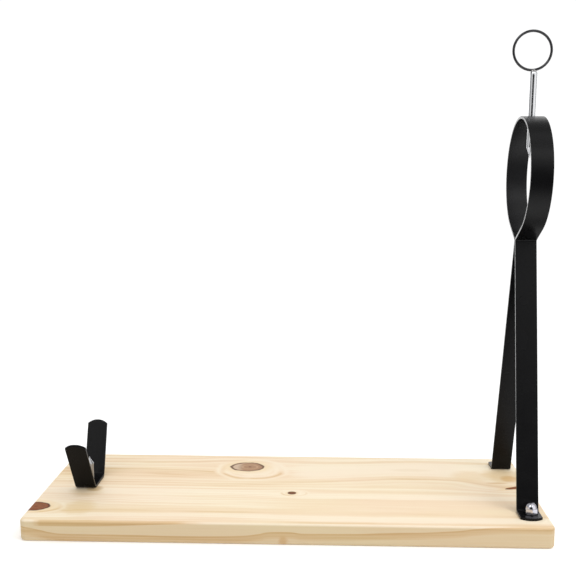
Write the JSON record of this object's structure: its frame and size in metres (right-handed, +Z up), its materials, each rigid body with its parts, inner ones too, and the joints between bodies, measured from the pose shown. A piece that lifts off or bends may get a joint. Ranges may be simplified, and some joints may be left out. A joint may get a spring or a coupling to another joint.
{
  "type": "ham holder stand",
  "caption": "Wooden board with a V-shaped steel rest and spike at one end and a tall steel collar with an eye-ring clamp screw at the other.",
  "frame": {"origin": "middle of the board's underside, which is the middle of the whole object's base", "axes": "+X along the board from the V rest to the collar, +Y across the board to the rear, +Z up"},
  "size_m": [0.6, 0.25, 0.5695],
  "materials": {
    "pine": "sanded, unvarnished pine with pale growth rings",
    "black_paint": "satin black enamel",
    "bright_steel": "bright plated steel",
    "zinc_steel": "zinc plated, satin"
  },
  "bodies": {
    "stand": {"base_board": "pine", "collar_frame": "black_paint", "collar_thread_nut": "black_paint", "v_bracket": "black_paint", "v_spike_bolt": "bright_steel", "front_cap_nut": "bright_steel", "rear_cap_nut": "bright_steel", "v_spike_washer": "zinc_steel", "front_foot_bolt": "zinc_steel", "rear_foot_bolt": "zinc_steel", "front_foot_washer": "zinc_steel", "rear_foot_washer": "zinc_steel"},
    "clamp_screw": {"clamp_rod": "bright_steel"},
    "clamp_eye": {"clamp_eye_ring": "bright_steel"}
  },
  "joints": [
    {"name": "clamp_feed", "type": "slide", "parent": "stand", "child": "clamp_screw", "axis": [0, 0, 1], "range_m": [-0.045, 0.0225]},
    {"name": "clamp_turn", "type": "hinge", "parent": "clamp_screw", "child": "clamp_eye", "pos_m": [0.278, 0, 0.5234], "axis": [0, 0, 1], "range_deg": [-12960, 6480]}
  ],
  "couplings": [
    {"joint": "clamp_feed", "follows": "clamp_turn", "m_per_rad": 0.00019894}
  ]
}
